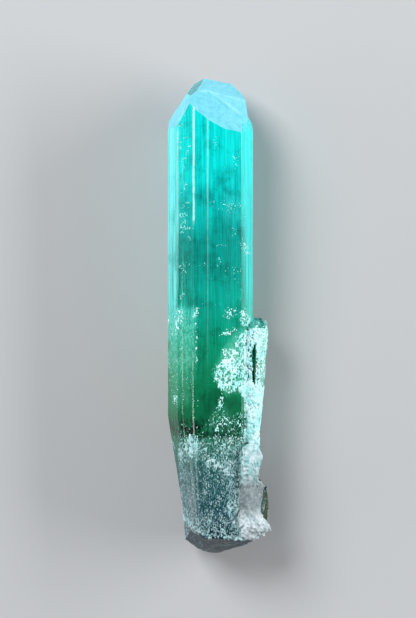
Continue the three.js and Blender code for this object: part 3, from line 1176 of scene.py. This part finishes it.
def crust_lift(points, share, seed):
    """Height of the crust over the face: a network of thin ridges, closer where the share is higher"""
    stretched = points * (1, 0.7, 1)
    patchy = layered_noise(stretched, PATCH_DISTANCE, 2, seed)
    network = 0.6 - 2.2 * abs(noise(stretched, RIDGE_DISTANCE, seed + 3))
    sugary = noise(stretched, SUGAR_DISTANCE, seed + 5)
    value = 0.36 * patchy + 0.5 * network + 0.5 * sugary
    lift = np.clip((value - (0.8 - 1.35 * share)) * 0.25, CRUST_SINK, CRUST_RISE)
    lift += np.where(share > SOLID_SHARE, SOLID_RISE, 0) * (1 + 0.8 * sugary + 0.8 * patchy)
    return np.where(share > 0.02, lift, CRUST_SINK)


def kept_cells(lift):
    return np.maximum.reduce([lift[:-1, :-1], lift[1:, :-1], lift[:-1, 1:], lift[1:, 1:]]) > 0


def crust_on(prism, name, zones, low, high, seed):
    """The crust on a prism's sides, as a thin lacy shell"""
    along = np.append(np.arange(0, prism.perimeter, CRUST_STEP), prism.perimeter)
    heights = np.repeat(np.arange(low, high, CRUST_STEP)[:, None], len(along), axis=1)
    face = prism.surface(along, heights).reshape(-1, 3)
    on_back = np.select([face[:, 2] < BARE_BELOW, face[:, 2] < THIN_BELOW], [0.0, THINNED], 1.0)
    share = zone_share(face, zones, soft=3) * on_back * left_by_base(face) - 2 * slit_share(face)
    lift = crust_lift(face, share, seed).reshape(heights.shape)
    lift[:, -1] = lift[:, 0]
    jitter = np.random.default_rng(seed).uniform(-0.3, 0.3, len(along)) * CRUST_STEP
    jitter[[0, -1]] = 0
    top, bottom = (prism.surface(along + jitter, heights, rise) for rise in (lift, CRUST_ROOT))
    return closed_shell(name, top, bottom, kept_cells(lift))


def crust_bridge():
    """The crust that fills the valley between the main and the side crystal"""
    x, z = np.array(VALLEY_FLOOR).T
    across, heights = np.meshgrid(np.arange(x[0], x[-1], CRUST_STEP), np.arange(*VALLEY, CRUST_STEP))
    face = np.stack([across, heights, np.interp(across, x, z)], axis=-1).reshape(-1, 3)
    share = zone_share(face, RIGHT_CRUST, soft=3) - 2 * slit_share(face)
    lift = crust_lift(face, share, 35)
    top, bottom = face.copy(), face.copy()
    top[:, 2] += np.minimum(lift, VALLEY_RISE) * 1.5 + 0.12 * layered_noise(face, 1.4, 3, 36)
    bottom[:, 2] -= VALLEY_ROOT
    top, bottom = (points.reshape(heights.shape + (3,)) for points in (top, bottom))
    return closed_shell("crust_bridge", top, bottom, kept_cells(lift.reshape(heights.shape)))


def chips(name, centres, sizes, random, tilt=None, sides=4):
    """Many small chips as one mesh, each a double pyramid with its own size and uneven corners, turned
    at random or, with a tilt, laid along Y give or take it"""
    count = len(centres)
    turns = random_turns(random, count) if tilt is None else turned_along_y(random, count, tilt)
    angles = np.arange(sides) * math.tau / sides
    ring = np.stack([np.cos(angles), np.sin(angles), 0 * angles], axis=1)
    shape = np.vstack([ring, [(0, 0, 1), (0, 0, -1)]])
    uneven = random.uniform(0.65, 1.25, (count, len(shape), 1))
    local = shape * uneven * sizes[:, None, :]
    points = np.einsum("nij,nkj->nki", turns, local) + centres[:, None, :]
    beside = [(i + 1) % sides for i in range(sides)]
    faces = [(i, beside[i], sides) for i in range(sides)]
    faces += [(beside[i], i, sides + 1) for i in range(sides)]
    first = np.arange(count)[:, None, None] * len(shape)
    return mesh_object(name, points.reshape(-1, 3), (np.array(faces) + first).reshape(-1, 3).tolist())


def random_turns(random, count):
    """Random rotations, as matrices"""
    fours = random.normal(size=(4, count))
    w, x, y, z = fours / np.linalg.norm(fours, axis=0)
    rows = [
        [1 - 2 * (y * y + z * z), 2 * (x * y - z * w), 2 * (x * z + y * w)],
        [2 * (x * y + z * w), 1 - 2 * (x * x + z * z), 2 * (y * z - x * w)],
        [2 * (x * z - y * w), 2 * (y * z + x * w), 1 - 2 * (x * x + y * y)],
    ]
    return np.moveaxis(np.array(rows), -1, 0)


def turned_along_y(random, count, tilt):
    """Turns that lay a chip's own Z along Y, give or take a tilt across the face"""
    angle = random.normal(0, tilt, count)
    sine, cosine, none = np.sin(angle), np.cos(angle), np.zeros(count)
    rows = [[cosine, none, -sine], [sine, none, cosine], [none, none - 1, none]]
    return np.moveaxis(np.array(rows), -1, 0)


# The smallest and the largest half width of a loose grain or fleck, and how much longer than wide it is
GRAIN_SIZES = (0.04, 0.13, 1.0)
FLECK_SIZES = (0.035, 0.08, 3.2)
FLECK_TILT = 0.3


def crust_grains(prism, name, zones, low, high, tries, seed, flecks=False):
    """Loose grains, or flecks along Y, on the crust, where tries at random places fall in the zones"""
    random = np.random.default_rng(seed)
    along = random.uniform(0, prism.perimeter, tries)
    heights = random.uniform(low, high, tries)
    centres = prism.surface(along, heights[None, :], random.uniform(-0.03, 0.06, tries))[0]
    share = zone_share(centres, zones, soft=5) * (centres[:, 2] > 0.4) * left_by_base(centres)
    share *= 1 - slit_share(centres)
    clumps = 0.75 + 0.9 * layered_noise(centres * (1, 0.5, 1), 1.1, 2, seed)
    centres = centres[random.uniform(0, 1, tries) < share * clumps]
    spread = random.uniform(0.6, 1.4, (len(centres), 1))
    smallest, largest, longer = FLECK_SIZES if flecks else GRAIN_SIZES
    sizes = random.uniform(smallest, largest, (len(centres), 3)) * spread * (1, 1, longer)
    return chips(name, centres, sizes, random, tilt=FLECK_TILT if flecks else None)


def end_flecks(count=2600):
    """Sparse flecks of crust that lie on the facets of the base"""
    random = np.random.default_rng(46)
    x, z = random.uniform(-HALF_WIDTH, HALF_WIDTH, count), random.uniform(0, DEPTH, count)
    inside = covered(np.stack([x, z], axis=1), PRISM_SECTION, soft=0.6) > 0.9
    x, z = x[inside], z[inside]
    narrowest = MAIN_NARROWING[1][0][1] / -HALF_WIDTH
    centres = np.stack([np.where(x < 0, x * narrowest, x), 0 * x, z], axis=1)
    centres[:, 1] = base_of(BASE_FACETS)(centres)
    clumps = 0.45 + 0.9 * layered_noise(centres, 1.6, 2, 47)
    centres = centres[random.uniform(0, 1, len(centres)) < clumps]
    return chips("flecks_end", centres, random.uniform(0.025, 0.1, (len(centres), 3)), random)


def add_crust():
    material = crust_material()
    shells = [
        crust_on(main_prism, "crust_left", LEFT_CRUST, 27, 62, seed=21),
        crust_on(main_prism, "crust_right", RIGHT_CRUST, 19, 60, seed=25),
        crust_on(main_prism, "crust_base", BASE_CRUST, 3.0, 23, seed=28),
        crust_on(side_prism, "crust_side", RIGHT_CRUST + SIDE_END_CRUST, 18.8, 43.2, seed=31),
        crust_bridge(),
    ]
    grains = [
        crust_grains(main_prism, "grains_left", LEFT_CRUST, 27, 62, 30000, seed=41),
        crust_grains(main_prism, "grains_right", RIGHT_CRUST, 19, 60, 30000, seed=42),
        crust_grains(main_prism, "flecks_base", BASE_CRUST, 3.0, 23, 72000, seed=43, flecks=True),
        crust_grains(side_prism, "grains_side", RIGHT_CRUST + SIDE_END_CRUST, 18.5, 44.0, 9000, seed=44),
        crust_grains(stub_prism, "grains_stub", BASE_CRUST + STUB_CRUST, 6, 13, 2600, seed=45),
        end_flecks(),
    ]
    for shell in shells:
        shade_smooth(shell, 50)
    for made in shells + grains:
        dress(made, material)


def front_height(x):
    """Z of the front face over x"""
    front = np.array(PRISM_SECTION[:7])
    return np.interp(x, front[:, 0], front[:, 1])


def under_front(x, y, depth):
    """Points that deep under the front face"""
    return np.stack([x, y, front_height(x) - depth], axis=1)


SPECK_REACH = 6.5  # how far from the crystal's axis a speck may be
SPECK_DEPTHS = (-0.06, 0.4)
CRACK_DEPTH = 0.35


def speck_clouds():
    random = np.random.default_rng(51)
    centres, sizes = [], []
    for x, y, half_width, half_height, count, size in SPECK_CLOUDS:
        spread = np.clip(random.normal(0, 0.5, (2, count)), -1.1, 1.1)
        place_x, place_y = from_photo(x + spread[0] * half_width, y + spread[1] * half_height)
        place_x = np.clip(place_x, -SPECK_REACH, SPECK_REACH)
        centres.append(under_front(place_x, place_y, random.uniform(*SPECK_DEPTHS, count)))
        sizes.append(size * random.uniform(0.3, 1.3, (count, 3)) * (1, 1, 0.35))
    centres, sizes = np.vstack(centres), np.vstack(sizes)
    return chips("specks", centres, sizes, random, sides=5)


def along_path(path, random):
    """Places of chips along a path, as (x, y) on the photograph, and their share of the way"""
    corners = np.array(path, float)
    count = 14 * len(corners)
    share = np.linspace(0, len(corners) - 1, count)
    x, y = (np.interp(share, np.arange(len(corners)), c) for c in corners.T)
    return x + random.normal(0, 0.3, count), y + random.normal(0, 0.3, count), share


def wandering_path(random):
    """A short path that turns at random"""
    place_at = random.uniform(SQUIGGLE_LOW, SQUIGGLE_HIGH)
    heading = random.uniform(0, math.tau) + np.cumsum(random.normal(0, 1.1, 5))
    steps = random.uniform(0.7, 1.7, 5)[:, None] * np.stack([np.cos(heading), np.sin(heading)], axis=1)
    return place_at + np.cumsum(steps, axis=0)


def curved_cracks():
    random = np.random.default_rng(52)
    centres = []
    squiggles = [wandering_path(random) for _ in range(SQUIGGLES)]
    for path, deep in [(p, CRACK_DEPTH) for p in CRACKS] + [(p, 0.0) for p in squiggles]:
        x, y, share = along_path(path, random)
        depth = deep * (1 + 0.5 * np.sin(share * 2)) + random.normal(0, 0.03, len(x))
        centres.append(under_front(*from_photo(x, y), depth))
    centres = np.vstack(centres)
    sizes = random.uniform(0.03, 0.085, (len(centres), 3)) * (1, 1, 0.4)
    return chips("cracks", centres, sizes, random, sides=5)


def cross_fractures():
    """Thin discs across the crystal, which show as dark lines from the front"""
    random = np.random.default_rng(53)
    x, y, radius = np.array(FRACTURES).T
    centres = under_front(*from_photo(x, y), radius + 0.2)
    sizes = np.stack([radius, radius, np.full(len(radius), 0.025)], axis=1)
    return chips("fractures", centres, sizes, random, tilt=0.1, sides=14)


def growth_needles():
    """Fine hollow needles along the crystal's axis"""
    random = np.random.default_rng(54)
    x = random.uniform(-6.2, 6.2, NEEDLES)
    depth = random.uniform(0.5, 9, NEEDLES)
    centres = under_front(x, random.uniform(28, 78, NEEDLES), depth)
    sizes = random.uniform((0.015, 0.015, 1.0), (0.04, 0.04, 5.0), (NEEDLES, 3))
    return chips("needles", centres, sizes, random, tilt=0.005, sides=5)


def add_inclusions():
    bright = inclusion_material("inclusions", BRIGHT_INCLUSION)
    dark = inclusion_material("fractures", DARK_INCLUSION)
    for made in (speck_clouds(), curved_cracks(), growth_needles()):
        dress(made, bright)
    dress(cross_fractures(), dark)


def matrix_with_grains(lumps):
    """The CAD lumps with angular grains of feldspar all over them, as one mesh that still overlaps"""
    random = np.random.default_rng(61)
    points = points_of(lumps)
    lumps.calc_loop_triangles()
    corners = points[np.array([t.vertices for t in lumps.loop_triangles])]
    areas = np.linalg.norm(np.cross(corners[:, 1] - corners[:, 0], corners[:, 2] - corners[:, 0]), axis=1)
    chosen = random.choice(len(corners), MATRIX_GRAINS, p=areas / areas.sum())
    weights = random.dirichlet((1, 1, 1), MATRIX_GRAINS)
    centres = np.einsum("nk,nkj->nj", weights, corners[chosen])
    spill = random.uniform(0, MATRIX_SPILL, MATRIX_GRAINS)
    centres[:, 0] -= np.where(centres[:, 0] < MATRIX_INNER, spill, 0)
    smooth_part = (centres[:, 1] > SMOOTH_STRETCH[0]) & (centres[:, 1] < SMOOTH_STRETCH[1])
    sizes = random.uniform(*GRAIN_HALF_WIDTHS, (MATRIX_GRAINS, 3))
    sizes *= np.where(smooth_part, SMOOTHED, 1.0)[:, None]
    grains = chips("grains", centres, sizes, random, sides=5)
    faces = [list(p.vertices) for p in lumps.polygons]
    faces += [[v + len(points) for v in p.vertices] for p in grains.data.polygons]
    points = np.vstack([points, points_of(grains.data)])
    bpy.data.objects.remove(grains)
    return mesh_object("feldspar", points, faces)


def add_matrix():
    """The matrix as rough granular rock"""
    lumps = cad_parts["feldspar_matrix"].data.copy()
    lumps.transform(PLACE.inverted())
    matrix = matrix_with_grains(lumps)
    remesh = matrix.modifiers.new("even", "REMESH")
    remesh.mode = "VOXEL"
    remesh.voxel_size = MATRIX_VOXEL
    evaluated_mesh(matrix)
    mesh = matrix.data
    points = points_of(mesh)
    normals = np.array([v.normal for v in mesh.vertices])
    points = points + normals * (0.16 * layered_noise(points, 0.8, 3, 3.0))[:, None]
    edge = np.interp(points[:, 1], *np.array(MATRIX_EDGE).T) + 0.7 * layered_noise(points, 1.3, 3, 7.0)
    points[:, 0] = np.clip(points[:, 0], edge, MATRIX_REACH)
    points[:, 2] = np.minimum(points[:, 2], MATRIX_TOP)
    mesh.vertices.foreach_set("co", points.astype(np.float32).ravel())
    mesh.update()
    shade_smooth(matrix, 28)
    dress(matrix, feldspar_material())
    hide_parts("feldspar_matrix")


add_camera()
add_floor()
add_lights()
set_view()
add_crystal()
add_crust()
add_inclusions()
add_matrix()
